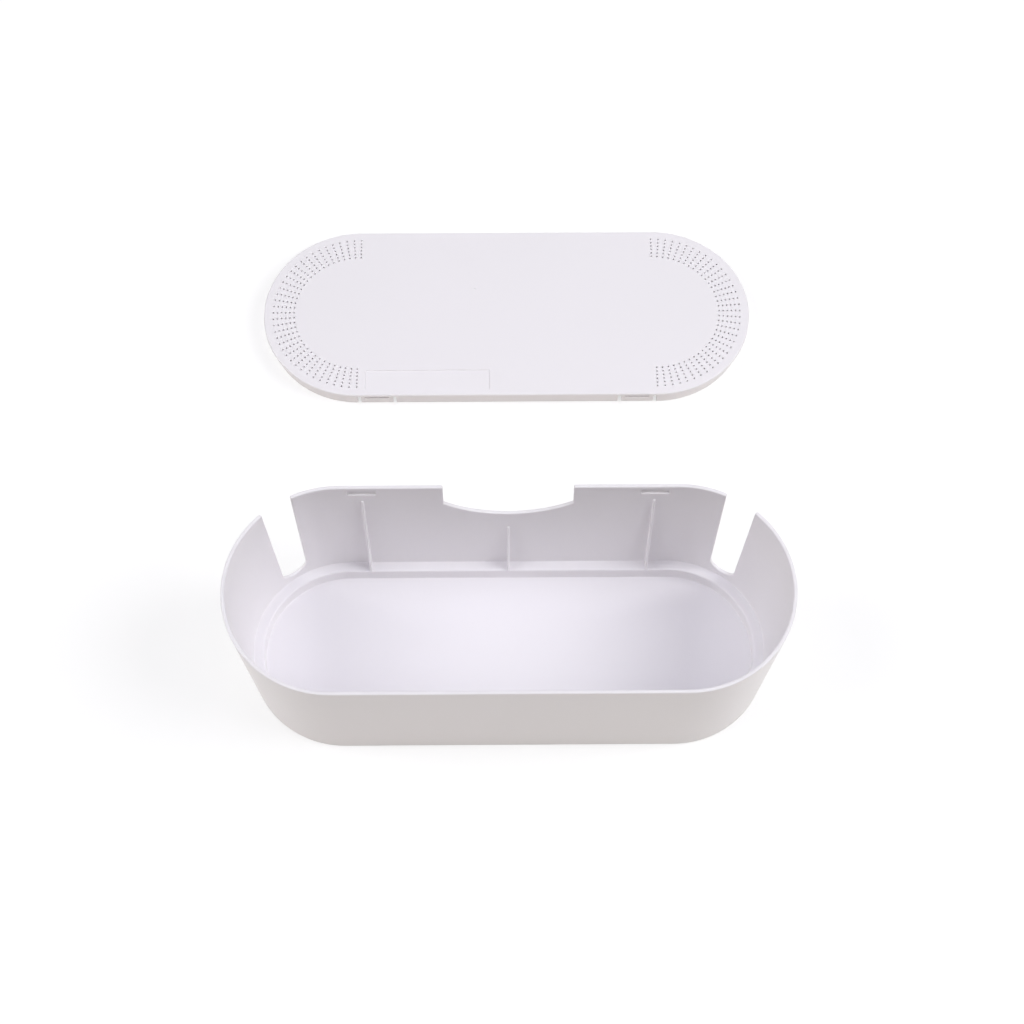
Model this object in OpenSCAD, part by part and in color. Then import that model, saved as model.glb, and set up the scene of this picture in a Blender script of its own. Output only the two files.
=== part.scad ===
// Cable management box: an open tray with round ends, leaning walls and three cable outlets,
// and a vented lid with four snap-in latch tongues. Millimetres. The origin is the middle of
// the underside, +X runs along the box, +Y to its rear, +Z up.

/* [Box] */
// Length over the rim
box_l = 415; // [380:1:460]
// Width over the rim
box_w = 164; // [150:1:190]
// Height of the rim above the surface that the box stands on
box_h = 135; // [120:1:160]
// Thickness of the walls
wall_t = 3; // [2.4:0.1:3.6]
// Thickness of the floor
floor_t = 3; // [2.4:0.1:4]
// How far each wall leans in between the rim and the base
lean = 7; // [3:0.5:9]
// Radius on the edges of the rim
rim_r = 1; // [0.4:0.1:1.1]
// Radius on the outer bottom edge
base_r = 1.5; // [0.5:0.1:2]

/* [Ledge] */
// Height of the ledge round the floor above the surface
ledge_h = 17; // [14:0.5:21]
// Width of the ledge
ledge_w = 8.5; // [7:0.5:12]

/* [Cable outlets] */
// Width of the rear outlet
rear_w = 97; // [70:1:120]
// Height of the straight sides of the rear outlet
rear_side = 24; // [20:1:30]
// How far the curved sill of the rear outlet dips below its corners
rear_dip = 16; // [8:1:18]
// Direction of each side outlet round its end, counted from the long axis
side_dir = 55; // [50:1:60]
// Width of a side outlet at its round bottom
side_w = 22; // [16:1:26]
// Extra width of a side outlet at the rim
side_flare = 3.5; // [0:0.5:5]
// Height of the lowest point of a side outlet
side_sill = 23; // [22:1:40]

/* [Ribs] */
// Thickness of the gusset ribs inside the long walls
rib_t = 2; // [1.5:0.1:3]
// Height of the tops of the outer ribs, which stand below the latches
rib_top = 116.5; // [100:0.5:118]
// Height of the tops of the middle ribs, which stand below the rear outlet
mid_rib_top = 75; // [50:1:85]

/* [Lid] */
// Thickness of the lid's plate
lid_t = 3; // [2.4:0.1:4]
// How far the plate stays inside the rim's outline
lid_inset = 1; // [0:0.1:1.5]
// Radius on the plate's top edge
lid_r = 1.2; // [0.5:0.1:1.6]
// Depth of the skirt below the plate
skirt_h = 15; // [13:0.5:16]
// Thickness of the skirt and of the latch tongues
skirt_t = 2; // [1.6:0.1:2.6]
// Gap between the skirt and the wall of the box
skirt_gap = 0.5; // [0.3:0.1:0.8]
// Where the lid is: lying behind the box, or pressed into it
lid_place = "behind"; // [behind, closed]
// Distance from the middle of the box to the middle of the lid that lies behind it
lid_off = 305; // [250:1:360]

/* [Vents] */
// Diameter of a vent hole
vent_d = 1.5; // [1:0.1:2.2]
// Radius of the outermost ring of vent holes
vent_r = 73; // [68:0.5:74]
// Distance between rings
vent_pitch = 3.5; // [3:0.1:4]
// Number of rings
vent_rings = 6; // [1:1:8]
// Angle between the columns of holes
vent_step = 5; // [5, 6, 7.5, 9, 10]

/* [Name panel] */
// Length of the bare recessed panel on the lid
panel_l = 104; // [60:1:120]
// Width of the panel
panel_w = 19; // [10:1:24]
// Depth of the panel
panel_d = 0.4; // [0.2:0.1:0.8]
// Distance of the panel from the lid's middle, along the box
panel_x = 14.5; // [5:0.5:25]
// Distance of the panel from the plate's front edge
panel_edge = 5; // [3:0.5:10]

/* [Latches] */
// Distance of each latch from the middle of the box
latch_x = 109; // [95:0.5:109]
// Width of a latch tongue
tongue_w = 26.7; // [22:0.1:28]
// Slot on each side of a tongue
tongue_slot = 2.8; // [2:0.1:3]
// Length of the barb on a tongue
barb_l = 20; // [14:0.5:21]
// How far a barb stands out of its tongue
barb_out = 1.5; // [1.2:0.1:1.6]
// Depth of the barb's catch face below the plate
barb_top = 4.5; // [4:0.1:5.5]
// Height of the barb's straight front
barb_face = 1.8; // [1:0.1:2.5]
// Height of the ramp below the barb
barb_ramp = 3.7; // [2.5:0.1:4]
// Clearance round a barb in its pocket
catch_gap = 0.3; // [0.2:0.1:0.5]
// Gap that lets a tongue flex at its root, and keeps its tip off the surface
flex_gap = 0.1; // [0.05:0.05:0.3]

/* [Feet] */
// Diameter of a rubber foot
foot_d = 14; // [8:1:20]
// Thickness of a foot
foot_t = 2.5; // [2.3:0.1:3]
// How far a foot stands out of the underside
stand = 1.5; // [1:0.1:1.8]
// Distance of the feet from the middle, along the box
foot_x = 120; // [80:1:135]
// Distance of the feet from the middle, across the box
foot_y = 45; // [30:1:50]
// Gap round a foot in its recess
foot_gap = 0.2; // [0.1:0.1:0.4]

/* [Hidden] */

$fn = 96;
eps = 0.01;          // a little extra depth, so that a cut leaves no skin
reach = 20;          // how far a cutter runs past the wall it cuts
embed = 1;           // how deep a rib is rooted in the wall and the ledge
arc_steps = 4;       // flats on each rounded edge
edge_r = 0.4;        // radius on the plate's lower edge
plastic = "#f1f0f4";
rubber = "#3a3a3c";

half_run = (box_l - box_w) / 2;                 // the round ends are centred here
function outer_r(z) = box_w / 2 - lean * (box_h - z) / (box_h - stand);
function inner_r(z) = outer_r(z) - wall_t;
pan_r = inner_r(ledge_h) - ledge_w;             // half width of the sunk floor
floor_z = stand + floor_t;

plate_r = box_w / 2 - lid_inset;
function skirt_r(z) = inner_r(box_h + z) - skirt_gap;   // z is counted from the plate's underside
lid_pos = lid_place == "closed" ? [0, 0, box_h] : [0, lid_off, skirt_h];
tongue_h = skirt_h - flex_gap;

// Points of an arc round a centre, from one angle to the other
function arc(centre, r, from, to) =
    [for (i = [0:arc_steps])
        let (a = from + (to - from) * i / arc_steps)
        [centre[0] + r * cos(a), centre[1] + r * sin(a)]];

// Carries a half section round the whole outline: straight along both long sides and turned
// about the centre of each round end. Its points are [distance from the spine, height], and the
// first and the last lie on the spine
module around_outline(section) {
    inner = [for (i = [len(section) - 1:-1:0]) if (section[i][0] > 0) [-section[i][0], section[i][1]]];
    rotate([90, 0, 90])
        linear_extrude(height = 2 * half_run, center = true)
            polygon(concat(section, inner));
    for (side = [-1, 1])
        translate([side * half_run, 0, 0])
            rotate([0, 0, -90 * side])
                rotate_extrude(angle = 180)
                    polygon(section);
}

// Puts its children at each of the four corners of a rectangle about the middle
module at_corner(front_rear, left_right, x, y) {
    translate([left_right * x, front_rear * y, 0])
        children();
}

// Half section of the tray: floor, riser, ledge and leaning wall
function tray_section() = concat(
    [[0, stand]],
    [[pan_r + wall_t, stand]],
    [[pan_r + wall_t, ledge_h - wall_t]],
    [[inner_r(ledge_h - wall_t), ledge_h - wall_t]],
    [[inner_r(stand), stand]],
    arc([outer_r(stand) - base_r, stand + base_r], base_r, -90, 0),
    arc([outer_r(box_h) - rim_r, box_h - rim_r], rim_r, 0, 90),
    arc([inner_r(box_h) + rim_r, box_h - rim_r], rim_r, 90, 180),
    [[inner_r(ledge_h), ledge_h]],
    [[pan_r, ledge_h]],
    [[pan_r, floor_z]],
    [[0, floor_z]]);

// A gusset rib: rooted in the ledge and the rear wall, and tapering to nothing at its top
module rib(x, top) {
    translate([x, 0, 0])
        rotate([90, 0, 90])
            linear_extrude(height = rib_t, center = true)
                polygon([[pan_r, ledge_h - embed],
                         [inner_r(ledge_h) + embed, ledge_h - embed],
                         [inner_r(top) + embed, top],
                         [inner_r(top), top],
                         [pan_r, ledge_h]]);
}

// Opening in the rear wall: straight sides and a sill that dips in an arc
module rear_outlet() {
    sill = box_h - rear_side - rear_dip;
    sill_r = (pow(rear_w / 2, 2) + pow(rear_dip, 2)) / (2 * rear_dip);
    intersection() {
        translate([-rear_w / 2, pan_r, sill])
            cube([rear_w, box_w / 2 - pan_r + reach, rear_side + rear_dip + reach]);
        translate([0, pan_r, sill + sill_r])
            rotate([-90, 0, 0])
                cylinder(h = box_w / 2 - pan_r + reach, r = sill_r);
    }
}

// Opening in one round end: a slot with a round bottom that widens a little to the rim
module side_outlet(side) {
    top = box_h + reach;
    spread = side_w / 2 + side_flare / 2 * (top - side_sill - side_w / 2) / (box_h - side_sill - side_w / 2);
    turn = side > 0 ? side_dir : 180 - side_dir;
    translate([side * half_run, 0, 0])
        rotate([0, 0, turn])
            translate([pan_r, 0, side_sill + side_w / 2])
                rotate([90, 0, 90]) {
                    cylinder(h = box_w / 2 - pan_r + reach, d = side_w);
                    linear_extrude(height = box_w / 2 - pan_r + reach)
                        polygon([[-side_w / 2, 0], [side_w / 2, 0],
                                 [spread, top - side_sill - side_w / 2],
                                 [-spread, top - side_sill - side_w / 2]]);
                }
}

// Pocket in the wall that a latch barb snaps into
module catch_pocket(front_rear, left_right) {
    low = box_h - barb_top - barb_face - barb_ramp - catch_gap;
    high = box_h - barb_top + catch_gap;
    width = barb_l + 4 * catch_gap;
    deep = barb_out - skirt_gap + catch_gap;
    at_corner(front_rear, left_right, latch_x, 0)
        rotate([0, 0, front_rear > 0 ? 0 : 180])
            translate([-width / 2, inner_r(high) + deep - wall_t, low])
                cube([width, wall_t, high - low]);
}

module base_shell() {
    color(plastic)
        difference() {
            union() {
                around_outline(tray_section());
                for (turn = [0, 180])
                    rotate([0, 0, turn]) {
                        rib(0, mid_rib_top);
                        for (side = [-1, 1])
                            rib(side * latch_x, rib_top);
                    }
            }
            rear_outlet();
            for (side = [-1, 1])
                side_outlet(side);
            for (front_rear = [-1, 1], left_right = [-1, 1]) {
                catch_pocket(front_rear, left_right);
                at_corner(front_rear, left_right, foot_x, foot_y)
                    cylinder(h = foot_t, d = foot_d + 2 * foot_gap);
            }
        }
}

// Half section of the lid: the plate with its rounded edge, and the skirt that goes into the box
function lid_section() = concat(
    [[0, 0]],
    [[skirt_r(0) - skirt_t, 0]],
    [[skirt_r(-skirt_h) - skirt_t, -skirt_h]],
    [[skirt_r(-skirt_h), -skirt_h]],
    [[skirt_r(0), 0]],
    arc([plate_r - edge_r, edge_r], edge_r, -90, 0),
    arc([plate_r - lid_r, lid_t - lid_r], lid_r, 0, 90),
    [[0, lid_t]]);

// Rings of vent holes round one end of the plate
module vents(side) {
    translate([side * half_run, 0, -reach / 2])
        for (angle = [-90:vent_step:90], ring = [0:vent_rings - 1])
            rotate([0, 0, side > 0 ? angle : 180 - angle])
                translate([vent_r - ring * vent_pitch, 0, 0])
                    cylinder(h = lid_t + reach, d = vent_d, $fn = 13);
}

module lid() {
    gap_w = tongue_w + 2 * tongue_slot;
    color(plastic)
        translate(lid_pos)
            difference() {
                around_outline(lid_section());
                for (left_right = [-1, 1])
                    translate([left_right * latch_x - gap_w / 2, -box_w / 2, -skirt_h - eps])
                        cube([gap_w, box_w, skirt_h + eps]);
                for (side = [-1, 1])
                    vents(side);
                translate([-panel_x - panel_l, -plate_r + panel_edge, lid_t - panel_d])
                    cube([panel_l, panel_w, panel_d + eps]);
            }
}

// Latch tongue: a flap of the skirt that flexes inwards, with a ramped barb on its outer face
module latch(front_rear, left_right) {
    color(plastic)
        translate(lid_pos)
            at_corner(front_rear, left_right, latch_x, 0)
                rotate([0, 0, front_rear > 0 ? 0 : 180])
                    rotate([90, 0, 90]) {
                        linear_extrude(height = tongue_w, center = true)
                            polygon([[skirt_r(-flex_gap) - skirt_t, -flex_gap],
                                     [skirt_r(-tongue_h) - skirt_t, -tongue_h],
                                     [skirt_r(-tongue_h), -tongue_h],
                                     [skirt_r(-flex_gap), -flex_gap]]);
                        linear_extrude(height = barb_l, center = true)
                            polygon(barb_section());
                    }
}

function barb_section() =
    let (foot = -barb_top - barb_face - barb_ramp, root = skirt_t / 2)
    [[skirt_r(-barb_top) - root, -barb_top],
     [skirt_r(-barb_top) - root, foot],
     [skirt_r(foot), foot],
     [skirt_r(-barb_top - barb_face) + barb_out, -barb_top - barb_face],
     [skirt_r(-barb_top) + barb_out, -barb_top]];

// Rubber foot: a disc glued into its recess in the underside
module foot(front_rear, left_right) {
    color(rubber)
        at_corner(front_rear, left_right, foot_x, foot_y)
            cylinder(h = foot_t, d = foot_d);
}

base_shell();
lid();
latch(-1, -1);  // latch_front_left
latch(-1, 1);  // latch_front_right
latch(1, -1);  // latch_rear_left
latch(1, 1);  // latch_rear_right
foot(-1, -1);  // foot_front_left
foot(-1, 1);  // foot_front_right
foot(1, -1);  // foot_rear_left
foot(1, 1);  // foot_rear_right
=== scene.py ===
import bpy
import numpy as np
from mathutils import Matrix, Vector
from mathutils.geometry import delaunay_2d_cdt


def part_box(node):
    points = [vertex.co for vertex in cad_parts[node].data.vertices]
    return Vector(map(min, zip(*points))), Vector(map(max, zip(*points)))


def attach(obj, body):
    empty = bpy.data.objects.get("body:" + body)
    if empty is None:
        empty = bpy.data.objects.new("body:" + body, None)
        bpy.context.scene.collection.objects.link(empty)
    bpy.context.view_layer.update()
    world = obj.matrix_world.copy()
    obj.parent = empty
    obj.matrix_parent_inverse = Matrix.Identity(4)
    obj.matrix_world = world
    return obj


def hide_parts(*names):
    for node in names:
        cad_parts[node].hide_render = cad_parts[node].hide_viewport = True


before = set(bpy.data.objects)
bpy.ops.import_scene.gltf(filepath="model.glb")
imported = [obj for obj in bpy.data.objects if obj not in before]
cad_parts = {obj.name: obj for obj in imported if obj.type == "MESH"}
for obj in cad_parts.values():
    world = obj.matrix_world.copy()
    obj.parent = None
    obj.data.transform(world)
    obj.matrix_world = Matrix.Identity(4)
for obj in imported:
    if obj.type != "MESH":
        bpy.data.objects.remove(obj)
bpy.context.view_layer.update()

mm = 0.001           # one millimetre in the frame's metres
weldGrid = 1e-4      # points nearer than this, in millimetres, are one point
small = 1e-6         # a turn or a gap under this counts as none
tiny = 1e-12         # keeps a divisor off nought

# In millimetres, how close together the points of the big surfaces lie.
spacing = {
    "edge": 3.0,             # along the tray's rim and the skirt's edge
    "wallRow": 6.0,          # between rows on the tray's walls
    "skirtRow": 3.0,
    "clear": 1.0,            # least room between points that come from two different rows or paths
    "skirtEnd": 2.0,         # the same at the ends of a stretch of skirt
    "wallMargin": 1.2,       # least room between a loose point and a border
    "skirtMargin": 0.8,
}


# Lowest and highest corner of a node at rest, in millimetres.
def nodeBox(node):
    low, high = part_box(node)
    return np.array(low) / mm, np.array(high) / mm


trayLow, trayHigh = nodeBox("base_shell")
lidLow, lidHigh = nodeBox("lid")

trayShape = {
    "wall": 3.0,             # thickness of the walls and the floor
    "lean": 7.0,             # how far a wall leans in between rim and base
    "stand": 1.5,            # height of the underside above the surface
    "rimRound": 1.0,
    "baseRound": 1.5,
    "ledgeHeight": 17.0,
    "ledgeWidth": 8.5,
    "ledgeRound": 1.5,
    "softEdge": 0.8,         # radius on inner corners
    "outletWidth": 97.0,     # rear outlet, with straight sides and a dipping sill
    "outletSide": 24.0,
    "outletDip": 16.0,
    "sillPoints": 33,
    "slotTurn": 55.0,        # side outlets, degrees round each end from the long axis
    "slotWidth": 22.0,
    "slotFlare": 3.5,
    "slotFoot": 23.0,
    "slotBowl": 0.998,       # share of half its width that its two lower arcs take, so they don't overlap
    "notchRound": 1.4,       # radius where an outlet's edge turns
    "notchRun": 9.0,         # length of straight rim that is made with an outlet, on each side
}

length = trayHigh[0] - trayLow[0]
width = trayHigh[1] - trayLow[1]
height = trayHigh[2]
rimRadius = width / 2
halfRun = (length - width) / 2


# The way u runs once round the pill-shaped outline, measured at the rim: along the front from its
# middle, round the right end, along the rear, round the left end and back.
wayMarks = np.cumsum([0, halfRun, np.pi * rimRadius, 2 * halfRun, np.pi * rimRadius, halfRun])
wayLength = wayMarks[-1]
wayRear = wayLength / 2


# The spine point is a ramp along both long sides and stands still round the ends; the direction
# outwards stands still along the sides and turns half a circle round each end. The point is
# spine + radius * direction, at height z.
def onOutline(u, radius, z):
    u = np.asarray(u, float) % wayLength
    spine = np.interp(u, wayMarks, halfRun * np.array([0, 1, 1, -1, -1, 0]))
    turn = np.interp(u, wayMarks, np.radians([-90, -90, 90, 90, 270, 270]))
    x, y = spine + radius * np.cos(turn), radius * np.sin(turn)
    return np.stack(np.broadcast_arrays(x, y, z), axis=-1)


# Columns of the grids: even steps on each straight and round each end.
def wayColumns(bendSteps=88, runSteps=30):
    steps = [runSteps // 2, bendSteps, runSteps, bendSteps, runSteps // 2]
    pieces = [np.linspace(a, b, n, endpoint=False) for a, b, n in zip(wayMarks, wayMarks[1:], steps)]
    return np.concatenate(pieces)


columns = wayColumns()


def unit(v):
    return v / np.maximum(np.linalg.norm(v, axis=-1, keepdims=True), tiny)


# The angles of a quarter circle, in even steps.
def quarterTurn(steps):
    return np.linspace(0, np.pi / 2, steps + 1)


# Rounds the corners of a run of straight lines. A corner (x, y, radius) becomes an arc that starts
# radius * tan(half the turn) before it; radius 0 keeps the point. Returns points and directions.
def roundedPath(corners, closed=False, steps=5):
    c = np.asarray(corners, float)
    before = unit(c[:, :2] - np.roll(c[:, :2], 1, axis=0))
    after = np.roll(before, -1, axis=0)
    if not closed:
        before[0], after[-1] = after[0], before[-1]
    heading = np.arctan2(before[:, 1], before[:, 0])
    crossed = before[:, 0] * after[:, 1] - before[:, 1] * after[:, 0]
    turn = np.arctan2(crossed, (before * after).sum(axis=1))
    points, ways = [], []
    for corner, start, bend, radius in zip(c[:, :2], heading, turn, c[:, 2]):
        if radius == 0 or abs(bend) < small:
            angles = np.array([start + bend / 2])
            spots = corner[None]
        else:
            angles = start + bend * np.linspace(0, 1, steps + 1)
            side = np.sign(bend)
            first = corner - radius * np.tan(abs(bend) / 2) * np.array([np.cos(start), np.sin(start)])
            centre = first + side * radius * np.array([-np.sin(start), np.cos(start)])
            spots = centre + side * radius * np.stack([np.sin(angles), -np.cos(angles)], axis=1)
        points.append(spots)
        ways.append(np.stack([np.cos(angles), np.sin(angles)], axis=1))
    return np.concatenate(points), np.concatenate(ways)


# Adds points along the stretches that are longer than a step, evenly, with the stretch's direction.
def fill(points, ways, step):
    newPoints, newWays = [points[:1]], [ways[:1]]
    for a, b, wayB in zip(points, points[1:], ways[1:]):
        count = max(int(np.ceil(np.linalg.norm(b - a) / step)), 1)
        part = np.linspace(0, 1, count + 1)[1:, None]
        between = np.repeat(unit(b - a)[None], count, axis=0)
        between[-1] = wayB
        newPoints.append(a + (b - a) * part)
        newWays.append(between)
    return np.concatenate(newPoints), np.concatenate(newWays)


# Faces of a grid of rows x cols points; closed rows join their last point to their first.
def gridFaces(rows, cols, closed=False, flip=False):
    i = np.arange(rows - 1)[:, None]
    j = np.arange(cols if closed else cols - 1)[None, :]
    j2 = (j + 1) % cols
    below = i + 1
    faces = np.stack([i * cols + j, below * cols + j, below * cols + j2, i * cols + j2], axis=-1)
    faces = faces.reshape(-1, 4)
    return faces[:, ::-1] if flip else faces


# Gives a grid of flat points a height: one for all, or a column with one for each row.
def atHeight(flat, z):
    return np.concatenate([flat, np.broadcast_to(z, flat.shape[:-1])[..., None]], axis=-1)


# Square outwards to a loop that runs anticlockwise, from its directions.
def squareTo(ways):
    return np.stack([ways[:, 1], -ways[:, 0]], axis=1)


# A sheet from a grid of points: rows x cols x 3.
def gridSheet(points, closed=False, flip=False):
    rows, cols = points.shape[:2]
    return points.reshape(-1, 3), gridFaces(rows, cols, closed, flip).tolist()


# Fills a flat region with triangles: loops are its borders and holes, spots are loose points in it.
# Spots nearer to a border than the margin are left out, so that no sliver lies along the border.
def fillRegion(loops, spots=None, margin=spacing["wallMargin"]):
    edges, first = [], 0
    for loop in loops:
        index = np.arange(len(loop)) + first
        edges += np.stack([index, np.roll(index, -1)], axis=1).tolist()
        first += len(loop)
    border = np.concatenate(loops)
    flat = border
    if spots is not None:
        nearest = np.full(len(spots), np.inf)
        for loop in loops:
            a, step = loop, np.roll(loop, -1, axis=0) - loop
            reach = spots[:, None] - a[None]
            along = (reach * step).sum(-1) / np.maximum((step * step).sum(-1), tiny)
            gap = reach - np.clip(along, 0, 1)[..., None] * step
            nearest = np.minimum(nearest, np.linalg.norm(gap, axis=-1).min(axis=1))
        flat = np.concatenate([border, spots[nearest > margin]])
    result = delaunay_2d_cdt([Vector(p) for p in flat.tolist()], edges, [], 0, small, True)
    origin = np.array([group[0] for group in result[3]])
    faces = origin[np.array([list(face) for face in result[2]])]
    inside = countCrossings(flat[faces].mean(axis=1), border, np.array(edges)) % 2 == 1
    return flat, faces[inside].tolist()


# How many border lines a level ray from each spot crosses; an odd count lies inside.
def countCrossings(spots, border, edges):
    a, b = border[edges[:, 0]], border[edges[:, 1]]
    x, y = spots[:, :1], spots[:, 1:]
    spans = (a[:, 1] > y) != (b[:, 1] > y)
    rise = np.where(a[:, 1] == b[:, 1], 1.0, b[:, 1] - a[:, 1])
    return (spans & (x < a[:, 0] + (y - a[:, 1]) * (b[:, 0] - a[:, 0]) / rise)).sum(axis=1)


# The normal at each corner of each face: the sum of area * normal over the faces round that point
# which lean less than the limit from its own face. So a large flat face stays flat beside a soft
# edge, and an edge sharper than the limit stays sharp.
def cornerNormals(corner, total, area, normal, limit=40.0):
    face = np.repeat(np.arange(len(total)), total)
    order = np.argsort(corner, kind="stable")
    point, face = corner[order], face[order]
    size = np.bincount(corner)
    start = np.cumsum(size) - size
    rank = np.arange(len(point)) - start[point]
    summed = np.zeros((len(point), 3))
    for shift in range(size.max()):
        other = face[start[point] + (rank + shift) % size[point]]
        near = (normal[face] * normal[other]).sum(axis=1) > np.cos(np.radians(limit))
        near &= shift < size[point]
        summed += np.where(near, area[other], 0)[:, None] * normal[other]
    result = np.empty_like(summed)
    result[order] = unit(summed)
    return result


# Joins sheets where their points meet, drops corners that fall together, and writes the mesh.
def makePiece(name, sheets, body, material, replaced):
    points = np.concatenate([sheet[0] for sheet in sheets])
    keys = np.round(points / weldGrid).astype(np.int64)
    _, first, place = np.unique(keys, axis=0, return_index=True, return_inverse=True)
    place = place.ravel()
    faces, start = [], 0
    for sheetPoints, sheetFaces in sheets:
        for face in sheetFaces:
            ring = [int(place[v + start]) for v in face]
            ring = [v for k, v in enumerate(ring) if v != ring[k - 1]]
            if len(ring) > 2:
                faces.append(ring)
        start += len(sheetPoints)
    mesh = bpy.data.meshes.new(name)
    mesh.from_pydata((points[first] * mm).tolist(), [], faces)
    mesh.validate()
    mesh.update()
    mesh.shade_smooth()

    count = len(mesh.polygons)
    area, normal = np.empty(count), np.empty(count * 3)
    mesh.polygons.foreach_get("area", area)
    mesh.polygons.foreach_get("normal", normal)
    total = np.empty(count, np.int32)
    mesh.polygons.foreach_get("loop_total", total)
    corner = np.empty(len(mesh.loops), np.int32)
    mesh.loops.foreach_get("vertex_index", corner)
    mesh.normals_split_custom_set(cornerNormals(corner, total, area, normal.reshape(-1, 3)).tolist())

    piece = bpy.data.objects.new(name, mesh)
    bpy.context.scene.collection.objects.link(piece)
    mesh.materials.append(material)
    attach(piece, body)
    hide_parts(*replaced)
    print(name, "-", len(mesh.vertices), "points,", count, "faces")


# A bar along X with a rounded section: the section's outline is drawn in by the edge radius at both
# ends along a quarter circle. Corners are (y, z, radius), anticlockwise seen from +X, and no radius
# is under the edge radius, so that the outline drawn in doesn't fold.
def roundedBar(corners, x, barWidth, edge, steps=3):
    loop, ways = roundedPath(corners, closed=True, steps=3)
    bend = quarterTurn(steps)
    inset = edge * (1 - np.sin(bend))
    place = barWidth / 2 - edge + edge * np.cos(bend)
    inset = np.concatenate([inset, inset[::-1]])
    place = np.concatenate([place, -place[::-1]])
    section = loop[None] - inset[:, None, None] * squareTo(ways)[None]
    along = np.broadcast_to(x + place[:, None, None], section.shape[:2] + (1,))
    points, faces = gridSheet(np.concatenate([along, section], axis=-1), closed=True)
    size = len(loop)
    caps = [list(range(size)), list(range(len(points) - size, len(points)))[::-1]]
    return points, faces + caps


# Turns an sRGB hex colour to linear light.
def linear(hexColour):
    c = np.array([int(hexColour[k:k + 2], 16) for k in (1, 3, 5)]) / 255
    return (*np.where(c > 0.04045, ((c + 0.055) / 1.055) ** 2.4, c / 12.92), 1)


# Adds a node with its settings and inputs; an input is a value or another node's output.
def addNode(tree, kind, settings=(), inputs=()):
    node = tree.nodes.new(kind)
    for name, value in dict(settings).items():
        setattr(node, name, value)
    for name, value in dict(inputs).items():
        if isinstance(value, bpy.types.NodeSocket):
            tree.links.new(value, node.inputs[name])
        else:
            node.inputs[name].default_value = value
    return node


def emptyMaterial(name):
    material = bpy.data.materials.new(name)
    material.use_nodes = True
    material.node_tree.nodes.clear()
    return material, material.node_tree


whiteAbs = {
    "light": "#efecef",
    "dark": "#eceaec",
    "driftSize": 140.0,       # mm, how slowly the tone drifts along the moulding's flow
    "grainSize": 1.1,         # mm; the mould's spark texture is about 0.2 and is drawn coarser to show
    "grainDepth": 0.012,      # mm
    "roughness": 0.42,
    "roughnessSpread": 0.05,
}


# White ABS, injection moulded in a spark-eroded tool: an opaque cool white, satin and never glossy,
# with a very fine grain and a tone that drifts a little where the melt flowed.
def mouldedAbs(values):
    material, tree = emptyMaterial("white moulded ABS")
    where = addNode(tree, "ShaderNodeTexCoord").outputs["Object"]
    drift = addNode(tree, "ShaderNodeTexNoise", inputs={
        "Vector": where, "Scale": 1 / (values["driftSize"] * mm), "Detail": 2.0, "Roughness": 0.4})
    grain = addNode(tree, "ShaderNodeTexNoise", inputs={
        "Vector": where, "Scale": 1 / (values["grainSize"] * mm), "Detail": 3.0, "Roughness": 0.6})
    tone = addNode(tree, "ShaderNodeMix", {"data_type": "RGBA"}, {
        "Factor": drift.outputs["Fac"], "A": linear(values["light"]), "B": linear(values["dark"])})
    sheen = addNode(tree, "ShaderNodeMapRange", inputs={
        "Value": grain.outputs["Fac"],
        "To Min": values["roughness"] - values["roughnessSpread"],
        "To Max": values["roughness"] + values["roughnessSpread"]})
    bump = addNode(tree, "ShaderNodeBump", inputs={
        "Height": grain.outputs["Fac"], "Strength": 0.35, "Distance": values["grainDepth"] * mm})
    shader = addNode(tree, "ShaderNodeBsdfPrincipled", inputs={
        "Base Color": tone.outputs["Result"], "Roughness": sheen.outputs["Result"],
        "Normal": bump.outputs["Normal"], "IOR": 1.53, "Metallic": 0.0})
    addNode(tree, "ShaderNodeOutputMaterial", inputs={"Surface": shader.outputs["BSDF"]})
    return material


footRubber = {
    "light": "#3a3a3c",
    "dark": "#2c2c2e",
    "grainSize": 0.8,
    "grainDepth": 0.02,
    "roughness": 0.82,
}


# Die-cut EPDM rubber: dull, nearly black, with a dusty grain.
def cutRubber(values):
    material, tree = emptyMaterial("black EPDM rubber")
    where = addNode(tree, "ShaderNodeTexCoord").outputs["Object"]
    grain = addNode(tree, "ShaderNodeTexNoise", inputs={
        "Vector": where, "Scale": 1 / (values["grainSize"] * mm), "Detail": 4.0})
    tone = addNode(tree, "ShaderNodeMix", {"data_type": "RGBA"}, {
        "Factor": grain.outputs["Fac"], "A": linear(values["dark"]), "B": linear(values["light"])})
    bump = addNode(tree, "ShaderNodeBump", inputs={
        "Height": grain.outputs["Fac"], "Strength": 0.5, "Distance": values["grainDepth"] * mm})
    shader = addNode(tree, "ShaderNodeBsdfPrincipled", inputs={
        "Base Color": tone.outputs["Result"], "Roughness": values["roughness"],
        "Normal": bump.outputs["Normal"], "IOR": 1.5, "Metallic": 0.0})
    addNode(tree, "ShaderNodeOutputMaterial", inputs={"Surface": shader.outputs["BSDF"]})
    return material


whitePlastic = mouldedAbs(whiteAbs)
rubber = cutRubber(footRubber)


# Radius of the wall's outer face at height z: a straight lean from the rim in to the base.
def trayOuter(z):
    return rimRadius - trayShape["lean"] * (height - z) / (height - trayShape["stand"])


def trayInner(z):
    return trayOuter(z) - trayShape["wall"]


ledgeFoot = trayShape["ledgeHeight"] + trayShape["softEdge"]
panRadius = trayInner(trayShape["ledgeHeight"]) - trayShape["ledgeWidth"]


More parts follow.
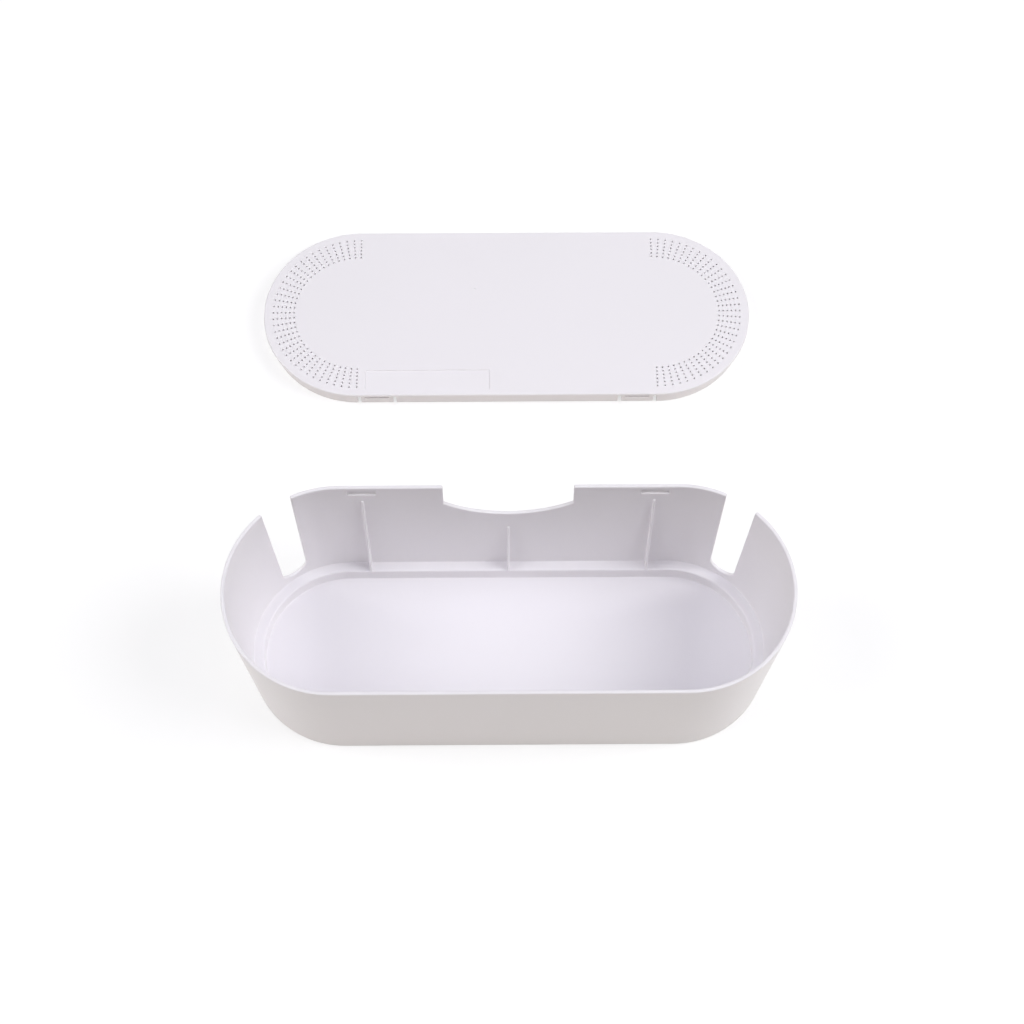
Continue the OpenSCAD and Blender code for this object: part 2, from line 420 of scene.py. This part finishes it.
# The rim's edge from u = 0 once round, as corners (u, z, radius). It drops into each side outlet,
# which is a U that flares towards the rim, and into the rear outlet, whose sill is an arc.
def rimCorners():
    s, turnRadius = trayShape, trayShape["notchRound"]
    half, flare, foot = s["slotWidth"] / 2, s["slotFlare"] / 2, s["slotFoot"]
    slope = flare / (height - foot - half)
    bowl = s["slotBowl"] * half
    slot = np.array([
        [-half - flare, height, turnRadius],
        [-half + slope * half, foot, bowl],
        [half - slope * half, foot, bowl],
        [half + flare, height, turnRadius]])
    side, depth = s["outletWidth"] / 2, s["outletDip"]
    sillRadius = (side ** 2 + depth ** 2) / (2 * depth)
    spread = np.arcsin(side / sillRadius)
    sweep = np.linspace(-spread, spread, s["sillPoints"])
    sillTop = height - s["outletSide"] - depth + sillRadius
    sill = np.stack([sillRadius * np.sin(sweep), sillTop - sillRadius * np.cos(sweep), 0 * sweep], axis=1)
    sill[[0, -1], 2] = turnRadius
    outlet = np.concatenate([[[-side, height, turnRadius]], sill, [[side, height, turnRadius]]])
    turn = np.radians(s["slotTurn"])
    rightSlot = wayMarks[1] + rimRadius * (np.pi / 2 + turn)
    return slot, outlet, rightSlot


# Carries the U of a side outlet onto the outline: sideways distance s becomes the way
# rimRadius * arcsin(s / wall radius at that height), because the outlet's sides are parallel.
def trayRim():
    slot, outlet, rightSlot = rimCorners()
    run, clear = trayShape["notchRun"], spacing["clear"]
    parts, ways = [], []
    for centre, corners, bends in ((rightSlot, slot, True), (wayRear, outlet, False),
                                   (wayLength - rightSlot, slot, True)):
        before, after = [corners[0, 0] - run, height, 0], [corners[-1, 0] + run, height, 0]
        path, heading = roundedPath([before, *corners, after], steps=14 if bends else 6)
        path, heading = fill(path, heading, spacing["edge"])
        if bends:
            path[:, 0] = rimRadius * np.arcsin(path[:, 0] / trayOuter(path[:, 1]))
        path[:, 0] += centre
        parts.append(path)
        ways.append(heading)
    rows, headings = [], []
    mark = 0.0
    for path, heading in zip(parts, ways):
        lone = columns[(columns > mark + clear) & (columns < path[0, 0] - clear)]
        if mark == 0:
            lone = np.concatenate([[0.0], lone])
        rows += [np.stack([lone, 0 * lone + height], axis=1), path]
        headings += [np.tile([1.0, 0.0], (len(lone), 1)), heading]
        mark = path[-1, 0]
    lone = np.concatenate([columns[columns > mark + clear], [wayLength]])
    rows.append(np.stack([lone, 0 * lone + height], axis=1))
    headings.append(np.tile([1.0, 0.0], (len(lone), 1)))
    return np.concatenate(rows), np.concatenate(headings)


# Maps wall points: way u, height z, and depth from the outer face.
def inTrayWall(u, z, depth):
    return onOutline(u, trayOuter(z) - depth, z)


# Rim: a half-round section of two quarter circles and a flat, carried along the rim's edge. A
# point of it lies so far below the edge, along the edge's own normal, and so deep in the wall.
def rimBead(path, ways, wall, edge, steps=5):
    bend = quarterTurn(steps)
    drop = edge * (1 - np.sin(bend))
    depth = edge * (1 - np.cos(bend))
    drop = np.concatenate([drop, drop[::-1]])
    depth = np.concatenate([depth, wall - depth[::-1]])
    outwards = np.stack([-ways[:, 1], ways[:, 0]], axis=1)
    flat = path[:, None] - drop[None, :, None] * outwards[:, None]
    return flat, np.broadcast_to(depth, flat.shape[:2])


# A closed border for one face of the wall: the edge path, and a straight lower line at the columns.
def wallBorder(edgePath, lowest, rows):
    lower = np.stack([columns, 0 * columns + lowest], axis=1)
    lower = np.concatenate([lower, [[wayLength, lowest]]])
    rise = rows[(rows > lowest + spacing["clear"]) & (rows < height - spacing["edge"])]
    right = np.stack([0 * rise + wayLength, rise], axis=1)
    left = np.stack([0 * rise, rise], axis=1)[::-1]
    return np.concatenate([lower, right, edgePath[::-1], left])


def trayWall():
    s = trayShape
    path, ways = trayRim()
    flat, depth = rimBead(path, ways, s["wall"], s["rimRound"])
    bead = gridSheet(inTrayWall(flat[..., 0], flat[..., 1], depth))
    rows = np.arange(spacing["wallRow"], height, spacing["wallRow"])
    spots = np.stack(np.meshgrid(columns, rows, indexing="ij"), axis=-1).reshape(-1, 2)
    sheets = [bead]

    outerBorder = wallBorder(flat[:, 0], s["stand"] + s["baseRound"], rows)
    region, faces = fillRegion([outerBorder], spots)
    sheets.append((inTrayWall(region[:, 0], region[:, 1], 0.0), faces))

    pockets = [pocketLoop(u) for u in pocketPlaces()]
    mouths = [pocketRing(loop, ways, catch["edge"]) for loop, ways in pockets]
    region, faces = fillRegion([wallBorder(flat[:, -1], ledgeFoot, rows), *mouths], spots)
    inner = inTrayWall(region[:, 0], region[:, 1], s["wall"])
    sheets.append((inner, [face[::-1] for face in faces]))
    sheets += [sheet for loop, ways in pockets for sheet in pocketSheets(loop, ways)]
    return sheets


catch = {
    "place": 109.0,          # from the middle of the box to the middle of a latch
    "width": 21.2,
    "low": 124.7,
    "high": 130.8,
    "depth": 1.3,
    "edge": 0.45,
    "corner": 0.6,
}


def pocketPlaces():
    return [catch["place"], wayLength - catch["place"], wayRear - catch["place"], wayRear + catch["place"]]


# Mouth of a latch pocket: a rectangle with soft corners on the wall's inner face.
def pocketLoop(u):
    c = catch
    return softRectangle(u - c["width"] / 2, c["low"], u + c["width"] / 2, c["high"], c["corner"])


# A rectangle with round corners, anticlockwise: points and directions.
def softRectangle(left, low, right, high, corner):
    corners = [[left, low, corner], [right, low, corner], [right, high, corner], [left, high, corner]]
    return roundedPath(corners, closed=True, steps=3)


def pocketRing(loop, ways, offset):
    return loop + offset * squareTo(ways)


# Side of the pocket: a soft edge, a straight way in, and a soft turn onto an upright back.
def pocketSheets(loop, ways):
    c = catch
    back = trayInner(c["high"]) + c["depth"]
    bend = quarterTurn(3)
    wide, deep = c["edge"] * (1 - np.sin(bend)), c["edge"] * (1 - np.cos(bend))
    flat = np.stack([pocketRing(loop, ways, offset) for offset in (*wide, *-deep)])
    face = trayInner(flat[:len(bend), :, 1])
    radius = np.concatenate([face + deep[:, None], back - wide[:, None] + 0 * face])
    points, faces = gridSheet(onOutline(flat[..., 0], radius, flat[..., 1]), closed=True)
    size = len(loop)
    return [(points, faces), (points, [list(range(len(points) - size, len(points)))[::-1]])]


# A profile (radius, z, rounding) carried round the whole outline. It is written so that the way
# round, crossed with the profile's direction, points out of the plastic.
def carried(corners, steps=4):
    profile, _ = roundedPath(corners, steps=steps)
    grid = onOutline(columns[None], profile[:, :1], profile[:, 1:])
    return gridSheet(grid, closed=True, flip=True)


footShape = {"recess": 0.2, "edge": 0.7, "topEdge": 0.2, "recessEdge": 0.3}


def footPlaces():
    names = [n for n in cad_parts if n.startswith("foot_")]
    return {n: nodeBox(n) for n in names}


def trayInside():
    s = trayShape
    soft, floor = s["softEdge"], s["stand"] + s["wall"]
    ledge = s["ledgeHeight"]
    foot = 0.95 * soft           # a hair under the height that the ledge's foot leaves for the arc
    return carried([
        [trayInner(ledgeFoot), ledgeFoot, 0],
        [trayInner(ledge), ledge, foot],
        [panRadius, ledge, s["ledgeRound"]],
        [panRadius, floor, soft],
        [0, floor, 0]])


def trayOutside():
    s = trayShape
    core = panRadius + s["wall"]
    web = s["ledgeHeight"] - s["wall"]
    soft = footShape["recessEdge"]
    return carried([
        [core - soft, s["stand"], 0],
        [core, s["stand"], soft],
        [core, web, soft],
        [trayInner(web), web, soft],
        [trayInner(s["stand"]), s["stand"], soft],
        [trayOuter(s["stand"]), s["stand"], s["baseRound"]],
        [trayOuter(s["stand"] + s["baseRound"]), s["stand"] + s["baseRound"], 0]])


def circle(centre, radius, count=40):
    turn = np.linspace(0, 2 * np.pi, count, endpoint=False)
    return np.stack([centre[0] + radius * np.cos(turn), centre[1] + radius * np.sin(turn)], axis=1)


# Underside of the floor: a flat with a round recess for each foot.
def trayUnderside():
    s, f = trayShape, footShape
    core = panRadius + s["wall"]
    rim = onOutline(columns, core - f["recessEdge"], s["stand"])[:, :2]
    loops, sheets = [rim], []
    for low, high in footPlaces().values():
        centre, radius = (low + high)[:2] / 2, (high - low)[0] / 2 + f["recess"]
        profile, _ = roundedPath([[radius + f["recessEdge"], s["stand"], 0],
                                  [radius, s["stand"], f["recessEdge"]],
                                  [radius, high[2], f["recessEdge"]],
                                  [0, high[2], 0]], steps=3)
        rings = np.stack([circle(centre, r) for r in profile[:, 0]])
        sheets.append(gridSheet(atHeight(rings, profile[:, 1:]), closed=True))
        loops.append(rings[0])
    flat, faces = fillRegion(loops)
    return sheets + [(atHeight(flat, s["stand"]), [face[::-1] for face in faces])]


ribShape = {
    "thickness": 2.0,
    "top": 116.5,
    "midTop": 75.0,
    "topReach": 1.0,         # how far a rib stands out from the wall at its top
    "root": 1.0,             # how deep it is rooted in the wall and the ledge
    "edge": 0.8,             # nearly half-round free edge
    "corner": 0.9,
}


# Gusset ribs: slanting fins between the ledge and the long walls, rooted in both.
def trayRibs():
    r, ledge = ribShape, trayShape["ledgeHeight"]
    sheets = []
    for x, top in ((0, r["midTop"]), (-catch["place"], r["top"]), (catch["place"], r["top"])):
        corners = np.array([
            [panRadius, ledge - r["root"], r["corner"]],
            [trayInner(ledge) + r["root"], ledge - r["root"], r["corner"]],
            [trayInner(top) + r["root"], top, r["corner"]],
            [trayInner(top) - r["topReach"], top, r["corner"]],
            [panRadius, ledge, r["corner"]]])
        for turned in (1, -1):
            points, faces = roundedBar(corners, x, r["thickness"], r["edge"])
            sheets.append((points * [turned, turned, 1], faces))
    return sheets


print("tray: wall, rim, outlets, ledge, ribs and latch pockets")
traySheets = trayWall() + [trayInside(), trayOutside()] + trayUnderside() + trayRibs()
makePiece("tray", traySheets, "box", whitePlastic, ["base_shell"])


# A foot is a profile turned round its middle.
def foot(low, high):
    f = footShape
    centre, radius = (low + high)[:2] / 2, (high - low)[0] / 2
    profile, _ = roundedPath([[0, low[2], 0],
                              [radius, low[2], f["edge"]],
                              [radius, high[2], f["topEdge"]],
                              [0, high[2], 0]], steps=4)
    rings = np.stack([circle(centre, r) for r in profile[:, 0]])
    return gridSheet(atHeight(rings, profile[:, 1:]), closed=True, flip=True)


for node, (low, high) in footPlaces().items():
    name = node.replace("foot_", "rubber_foot_")
    makePiece(name, [foot(low, high)], "box", rubber, [node])
print("feet: four rubber discs")


lidShape = {
    "plate": 3.0,
    "inset": 1.0,            # how far the plate stays inside the rim's outline
    "topRound": 1.2,
    "lowRound": 0.4,
    "skirt": 2.0,            # thickness of the skirt
    "skirtDepth": 15.0,
    "skirtGap": 0.5,         # between the skirt and the tray's wall
    "skirtEdge": 0.4,
    "skirtCorner": 1.0,      # radius of its lower corners beside a tongue
    "skirtRoot": 0.6,        # radius where the skirt meets the plate
    "window": 32.3,          # opening in the skirt that a tongue and its two slots take
    "tonguePlace": 109.0,
    "ventRadius": 73.0,
    "ventPitch": 3.5,
    "ventRings": 6,
    "ventStep": 5.0,         # degrees between columns of holes
    "ventHole": 1.5,
    "ventMouth": 0.3,        # radius of the soft edge round its top
    "ventSide": 3,           # points on each side of a cell; four sides make a hole of 12
    "panelLength": 104.0,
    "panelWidth": 19.0,
    "panelDepth": 0.9,
    "panelPlace": 14.5,
    "panelEdge": 5.0,
    "panelCorner": 0.8,
    "panelSlope": 0.3,       # width of its sloping border
    "gateX": -27.2,          # mark of the injection gate on the top
    "gateY": 22.5,
    "gateRadius": 0.8,
    "gateDepth": 0.6,
    "gateSlope": 0.3,
}
plateRadius = rimRadius - lidShape["inset"]
lidMiddle = (lidLow + lidHigh)[:2] / 2
plateLow = lidHigh[2] - lidShape["plate"]


def skirtFace(z):
    return trayInner(height + z) - lidShape["skirtGap"]


# Moves points of the lid's own frame, whose z counts from the plate's underside, to where it lies.
def placed(sheet):
    points, faces = sheet
    return points + [lidMiddle[0], lidMiddle[1], plateLow], faces


# The cells of a vent field: patches of polar ground with a round hole each. A border has as many
# points a side as ventSide says, and each is joined to the hole's point in the same direction from
# the middle.
def ventCells():
    s = lidShape
    angles = np.radians(np.arange(-90, 90 + s["ventStep"] / 2, s["ventStep"]))[:, None, None]
    radii = (s["ventRadius"] - s["ventPitch"] * np.arange(s["ventRings"]))[None, :, None]
    part = np.linspace(-1, 1, s["ventSide"], endpoint=False)
    one = np.ones(s["ventSide"])
    dr = np.concatenate([-one, part, one, -part]) * s["ventPitch"] / 2
    dt = np.concatenate([-part, -one, part, one]) * np.radians(s["ventStep"]) / 2
    rim = np.stack(np.broadcast_arrays(radii + dr, angles + dt), axis=-1)
    border = np.stack([rim[..., 0] * np.cos(rim[..., 1]), rim[..., 0] * np.sin(rim[..., 1])], axis=-1)
    middle = np.stack(np.broadcast_arrays(radii * np.cos(angles), radii * np.sin(angles)), axis=-1)
    return border, middle, unit(border - middle)


# All the holes at one end. With b from 0 to 90 degrees over the mouth, a ring is at the hole's radius
# + mouth * (1 - sin b), and mouth * (1 - cos b) below the top.
def ventField(side):
    s = lidShape
    border, middle, ways = (part[:, :, None] for part in ventCells())
    bend = quarterTurn(2)
    radius = s["ventHole"] / 2 + s["ventMouth"] * np.append(1 - np.sin(bend), 0)
    level = s["plate"] - s["ventMouth"] * (1 - np.cos(bend))
    rings = np.concatenate([border, middle + radius[:, None, None] * ways, border], axis=2)
    grid = atHeight(rings, np.array([s["plate"], *level, 0, 0])[:, None])
    count, (rows, size) = grid.shape[0] * grid.shape[1], grid.shape[2:4]
    one = gridFaces(rows, size, closed=True, flip=True)
    faces = (one[None] + (np.arange(count) * rows * size)[:, None, None]).reshape(-1, 4)
    points = grid.reshape(-1, 3)
    points[:, 0] += halfRun
    points[:, :2] *= side
    return points, faces.tolist()


# Border of a vent field: out along its first side, back round the outer ring, in and round again.
def ventBorder(side):
    s = lidShape
    half = s["ventStep"] / 2
    steps = int(round(180 / s["ventStep"] + 1)) * s["ventSide"]
    turn = np.radians(np.linspace(-90 - half, 90 + half, steps + 1))
    outer = s["ventRadius"] + s["ventPitch"] / 2
    inner = outer - s["ventPitch"] * s["ventRings"]
    across = np.linspace(inner, outer, s["ventRings"] * s["ventSide"] + 1)
    radius = np.concatenate([across[:-1], 0 * turn[:-1] + outer, across[:0:-1], 0 * turn[1:] + inner])
    still = 0 * across[1:]
    angle = np.concatenate([still + turn[0], turn[:-1], still + turn[-1], turn[:0:-1]])
    return np.stack([halfRun + radius * np.cos(angle), radius * np.sin(angle)], axis=1) * side


# A flat-bottomed dip in the top. Across its sloping border the ground falls by
# depth * (3 t^2 - 2 t^3), with t from 0 outside to 1 inside, so both edges are soft.
def dip(loop, outwards, depth, slope, rows=7):
    t = np.linspace(0, 1, rows)
    offset = slope * (0.5 - t)
    fall = depth * (3 * t ** 2 - 2 * t ** 3)
    flat = loop[None] + offset[:, None, None] * outwards[None]
    grid = atHeight(flat, (lidShape["plate"] - fall)[:, None])
    points, faces = gridSheet(grid, closed=True, flip=True)
    size = len(loop)
    return flat[0], (points, faces + [list(range(len(points) - size, len(points)))])


def lidPlate(skirtRings):
    s = lidShape
    edge = carried([
        [plateRadius - s["lowRound"], 0, 0],
        [plateRadius, 0, s["lowRound"]],
        [plateRadius, s["plate"], s["topRound"]],
        [plateRadius - s["topRound"], s["plate"], 0]])
    sheets = [edge, ventField(1), ventField(-1)]

    right, low = -s["panelPlace"], -plateRadius + s["panelEdge"]
    left, high = right - s["panelLength"], low + s["panelWidth"]
    loop, ways = softRectangle(left, low, right, high, s["panelCorner"])
    panelBorder, panel = dip(loop, squareTo(ways), s["panelDepth"], s["panelSlope"])
    gateMiddle = np.array([s["gateX"], s["gateY"]])
    gateLoop = circle(gateMiddle, s["gateRadius"], count=20)
    gateBorder, gate = dip(gateLoop, unit(gateLoop - gateMiddle), s["gateDepth"], s["gateSlope"])
    sheets += [panel, gate]

    vents = [ventBorder(1), ventBorder(-1)]
    top = onOutline(columns, plateRadius - s["topRound"], 0)[:, :2]
    flat, faces = fillRegion([top, *vents, panelBorder, gateBorder])
    sheets.append((atHeight(flat, s["plate"]), faces))
    under = onOutline(columns, plateRadius - s["lowRound"], 0)[:, :2]
    flat, faces = fillRegion([under, *vents, *skirtRings])
    sheets.append((atHeight(flat, 0.0), [face[::-1] for face in faces]))
    return sheets


# One stretch of the skirt, from way u0 to u1: two leaning faces, and a soft edge carried down one
# end, along the bottom and up the other. A small radius spreads its top into the plate.
def skirtStretch(u0, u1):
    s = lidShape
    root, edge, wall, low = -s["skirtRoot"], s["skirtEdge"], s["skirt"], -s["skirtDepth"]
    turn = s["skirtCorner"]
    path, ways = roundedPath([[u1, root, 0], [u1, low, turn], [u0, low, turn], [u0, root, 0]], steps=5)
    path, ways = fill(path, ways, spacing["edge"])
    flat, depth = rimBead(path, ways, wall, edge, steps=4)
    bead = gridSheet(onOutline(flat[..., 0], skirtFace(flat[..., 1]) - depth, flat[..., 1]))

    base = columns[None] + wayLength * np.array([-1, 0, 1])[:, None]
    inner = base[(base > u0 + spacing["skirtEnd"]) & (base < u1 - spacing["skirtEnd"])]
    rows = np.arange(low + spacing["skirtRow"], root - spacing["clear"], spacing["skirtRow"])
    spots = np.stack(np.meshgrid(inner, rows, indexing="ij"), axis=-1).reshape(-1, 2)
    topLine = np.stack([inner, 0 * inner + root], axis=1)
    sheets = [bead]
    for side, flip in ((0, False), (-1, True)):
        border = np.concatenate([flat[:, side], topLine])
        region, faces = fillRegion([border], spots, spacing["skirtMargin"])
        faceRadius = skirtFace(region[:, 1]) - (wall if flip else 0)
        points = onOutline(region[:, 0], faceRadius, region[:, 1])
        sheets.append((points, [face[::-1] for face in faces] if flip else faces))

    ringWay = np.concatenate([inner, flat[0, :, 0], inner[::-1], flat[-1, ::-1, 0]])
    ringDepth = np.concatenate([0 * inner, depth[0], 0 * inner + wall, depth[-1, ::-1]])
    ring = onOutline(ringWay, skirtFace(root) - ringDepth, root)[:, :2]
    tangent = unit(np.roll(ring, -1, axis=0) - np.roll(ring, 1, axis=0))
    bend = quarterTurn(3)
    spread = s["skirtRoot"] * (1 - np.cos(bend))
    level = root + s["skirtRoot"] * np.sin(bend)
    grid = atHeight(ring + spread[:, None, None] * squareTo(tangent), level[:, None])
    sheets.append(gridSheet(grid, closed=True, flip=True))
    return sheets, grid[-1, :, :2]


def skirtEnds():
    s = lidShape
    gapNear, gapFar = s["tonguePlace"] - s["window"] / 2, s["tonguePlace"] + s["window"] / 2
    return [(-gapNear, gapNear), (gapFar, wayRear - gapFar),
            (wayRear - gapNear, wayRear + gapNear), (wayRear + gapFar, wayLength - gapFar)]


print("lid: plate, skirt, vent fields and bare panel")
stretches = [skirtStretch(u0, u1) for u0, u1 in skirtEnds()]
lidSheets = lidPlate([ring for _, ring in stretches])
for skirtSheets, _ in stretches:
    lidSheets += skirtSheets
lidSheets = [placed(sheet) for sheet in lidSheets]
makePiece("vented_lid", lidSheets, "lid", whitePlastic, ["lid"])


tongueShape = {
    "width": 26.7,
    "root": 0.6,             # how far its top reaches into the plate that it grows from
    "short": 0.1,            # how much less deep it is than the skirt
    "edge": 0.35,
    "topRound": 0.4,
    "footRound": 0.6,
    "barb": 20.0,
    "barbOut": 1.5,
    "barbTop": 4.5,
    "barbFace": 1.8,
    "barbRamp": 3.7,
    "barbEdge": 0.25,
    "barbTip": 0.4,
    "barbRoot": 0.3,
}


# A flap of the skirt, and on its outer face a barb: a level catch, a short face and a long ramp.
def tongue(front, x):
    s, t = lidShape, tongueShape
    top, foot = t["root"], -s["skirtDepth"] + t["short"]
    flap = roundedBar([
        [skirtFace(top) - s["skirt"], top, t["topRound"]],
        [skirtFace(foot) - s["skirt"], foot, t["footRound"]],
        [skirtFace(foot), foot, t["footRound"]],
        [skirtFace(top), top, t["topRound"]]], -front * x, t["width"], t["edge"])
    level, faceFoot = -t["barbTop"], -t["barbTop"] - t["barbFace"]
    rampFoot = faceFoot - t["barbRamp"]
    inside = skirtFace(level) - s["skirt"] / 2
    barb = roundedBar([
        [inside, level, t["barbRoot"]],
        [inside, rampFoot, t["barbRoot"]],
        [skirtFace(rampFoot), rampFoot, t["barbEdge"]],
        [skirtFace(faceFoot) + t["barbOut"], faceFoot, t["barbTip"]],
        [skirtFace(level) + t["barbOut"], level, t["barbEdge"]]], -front * x, t["barb"], t["barbEdge"])
    turned = np.array([-front, -front, 1])
    return [(points * turned, faces) for points, faces in (flap, barb)]


for node in [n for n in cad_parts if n.startswith("latch_")]:
    low, high = nodeBox(node)
    front = 1 if high[1] < lidMiddle[1] else -1
    x = (low + high)[0] / 2 - lidMiddle[0]
    body = node.replace("latch_", "tongue_")
    sheets = [placed(sheet) for sheet in tongue(front, x)]
    makePiece("snap_" + body, sheets, body, whitePlastic, [node])
print("tongues: four, with barbs")


stageLook = {
    "floorColour": "#f3eee6",
    "half": 12.0,             # metres from the floor's middle to its edge
    "middle": (0.0, 0.15, 0.0),
    "seenWhite": 0.66,        # even white of what the camera sees of the floor, 1 being plain white
    "seenShade": 0.4,         # how much of the light and shadow on it comes on top of that
    "shadowReach": 0.55,      # metres round the object in which the floor shows shadow
    "farWhite": 1.4,          # metres from the middle, past which it is plain white
}


# Matt paper. The camera, and what reflects or lets light through, sees it as an even white with a
# share of its light and shadow on top, so the object's shadow stays; far off it is plain white.
def paper(values):
    material, tree = emptyMaterial("white paper floor")
    where = addNode(tree, "ShaderNodeTexCoord").outputs["Object"]
    away = addNode(tree, "ShaderNodeVectorMath", {"operation": "DISTANCE"}, {0: where, 1: values["middle"]})
    far = addNode(tree, "ShaderNodeMapRange", {"interpolation_type": "SMOOTHSTEP"}, {
        "Value": away.outputs["Value"], "From Min": values["shadowReach"], "From Max": values["farWhite"]})
    matt = addNode(tree, "ShaderNodeBsdfDiffuse", inputs={"Color": linear(values["floorColour"])})
    shade = addNode(tree, "ShaderNodeBsdfDiffuse", inputs={"Color": (*[values["seenShade"]] * 3, 1)})
    glow = addNode(tree, "ShaderNodeEmission", inputs={"Strength": values["seenWhite"]})
    white = addNode(tree, "ShaderNodeEmission", inputs={"Strength": 1.0})
    near = addNode(tree, "ShaderNodeAddShader", inputs={0: shade.outputs[0], 1: glow.outputs[0]})
    seen = addNode(tree, "ShaderNodeMixShader", inputs={
        0: far.outputs["Result"], 1: near.outputs[0], 2: white.outputs[0]})
    surface = addNode(tree, "ShaderNodeMixShader", inputs={
        0: seenDirectly(tree), 1: matt.outputs[0], 2: seen.outputs[0]})
    addNode(tree, "ShaderNodeOutputMaterial", inputs={"Surface": surface.outputs[0]})
    return material


# One where a ray comes from the camera, a reflection or clear material, and nought elsewhere.
def seenDirectly(tree):
    light = addNode(tree, "ShaderNodeLightPath")
    first = addNode(tree, "ShaderNodeMath", {"operation": "MAXIMUM"}, {
        0: light.outputs["Is Camera Ray"], 1: light.outputs["Is Glossy Ray"]})
    both = addNode(tree, "ShaderNodeMath", {"operation": "MAXIMUM"}, {
        0: first.outputs[0], 1: light.outputs["Is Transmission Ray"]})
    return both.outputs[0]


def makeFloor(values):
    mesh = bpy.data.meshes.new("floor")
    corners = np.array([[-1, -1, 0], [1, -1, 0], [1, 1, 0], [-1, 1, 0]]) * values["half"]
    mesh.from_pydata(corners.tolist(), [], [(0, 1, 2, 3)])
    mesh.materials.append(paper(values))
    floor = bpy.data.objects.new("floor", mesh)
    bpy.context.scene.collection.objects.link(floor)


roomLight = {"colour": "#fff7ec", "strength": 0.15}
lamps = {
    # place and aim in metres, size of the disc in metres, power in watts
    "overhead": {"place": (0.0, 0.12, 4.4), "aim": (0.0, 0.12, 0.0), "size": 3.2,
                 "power": 25.0, "colour": "#ced4ff"},
    "leftHigh": {"place": (-2.75, -0.25, 2.85), "aim": (0.0, 0.1, 0.0), "size": 2.6,
                 "power": 63.0, "colour": "#fdfdff"},
    "rightHigh": {"place": (2.75, -0.25, 2.85), "aim": (0.0, 0.1, 0.0), "size": 2.6,
                  "power": 99.0, "colour": "#fdfdff"},
    "leftLow": {"place": (-3.2, -0.9, 1.0), "aim": (0.0, 0.0, 0.05), "size": 1.6,
                "power": 8.0, "colour": "#fff6ea"},
    "front": {"place": (0.0, -3.1, 3.2), "aim": (0.0, 0.1, 0.0), "size": 2.4,
              "power": 2.0, "colour": "#fff6ea"},
    "rear": {"place": (0.0, 3.7, 2.4), "aim": (0.0, 0.1, 0.0), "size": 2.4,
             "power": 18.0, "colour": "#fdfdff"},
}


# The room is an even soft light; where it is seen directly it is plain white.
def makeRoom(values):
    world = bpy.data.worlds.new("studio")
    world.use_nodes = True
    tree = world.node_tree
    tree.nodes.clear()
    even = addNode(tree, "ShaderNodeBackground", inputs={
        "Color": linear(values["colour"]), "Strength": values["strength"]})
    white = addNode(tree, "ShaderNodeBackground", inputs={"Color": (1, 1, 1, 1), "Strength": 1.0})
    both = addNode(tree, "ShaderNodeMixShader", inputs={
        0: seenDirectly(tree), 1: even.outputs[0], 2: white.outputs[0]})
    addNode(tree, "ShaderNodeOutputWorld", inputs={"Surface": both.outputs[0]})
    bpy.context.scene.world = world


def makeLamps():
    for name, v in lamps.items():
        lamp = bpy.data.lights.new(name, "AREA")
        lamp.shape, lamp.size, lamp.energy = "DISK", v["size"], v["power"]
        lamp.color = linear(v["colour"])[:3]
        thing = bpy.data.objects.new(name, lamp)
        thing.location = v["place"]
        thing.rotation_euler = (Vector(v["aim"]) - Vector(v["place"])).to_track_quat("-Z", "Y").to_euler()
        bpy.context.scene.collection.objects.link(thing)


view = {
    "place": (-4.2, -509.1, 1316.2),    # mm
    "down": 64.300,                     # degrees below the horizon
    "aside": 0.677,
    "roll": 0.290,
    "focal": 1789.0,                    # in pixels of an image 1024 wide
    "image": 1024.0,
    "sensor": 36.0,                     # mm
    "nearest": 0.01,                    # metres between which it sees
    "farthest": 50.0,
}


# Looks along +Y, tilted down and turned aside, then rolled about its own view line.
def makeCamera(v):
    down, aside, roll = np.radians([v["down"], v["aside"], v["roll"]])
    ahead = np.array([np.sin(aside) * np.cos(down), np.cos(aside) * np.cos(down), -np.sin(down)])
    level = np.array([np.cos(aside), -np.sin(aside), 0])
    up = np.cross(level, ahead)
    right = np.cos(roll) * level + np.sin(roll) * up
    upright = -np.sin(roll) * level + np.cos(roll) * up
    data = bpy.data.cameras.new("view")
    data.sensor_width = v["sensor"]
    data.lens = v["focal"] / v["image"] * v["sensor"]
    data.clip_start, data.clip_end = v["nearest"], v["farthest"]
    camera = bpy.data.objects.new("view", data)
    turn = Matrix(np.stack([right, upright, -ahead], axis=1).tolist())
    camera.matrix_world = Matrix.Translation(Vector(v["place"]) * mm) @ turn.to_4x4()
    bpy.context.scene.collection.objects.link(camera)
    bpy.context.scene.camera = camera


makeFloor(stageLook)
makeRoom(roomLight)
makeLamps()
makeCamera(view)
bpy.context.scene.view_settings.view_transform = "Standard"
print("stage: floor, room, lamps and camera")
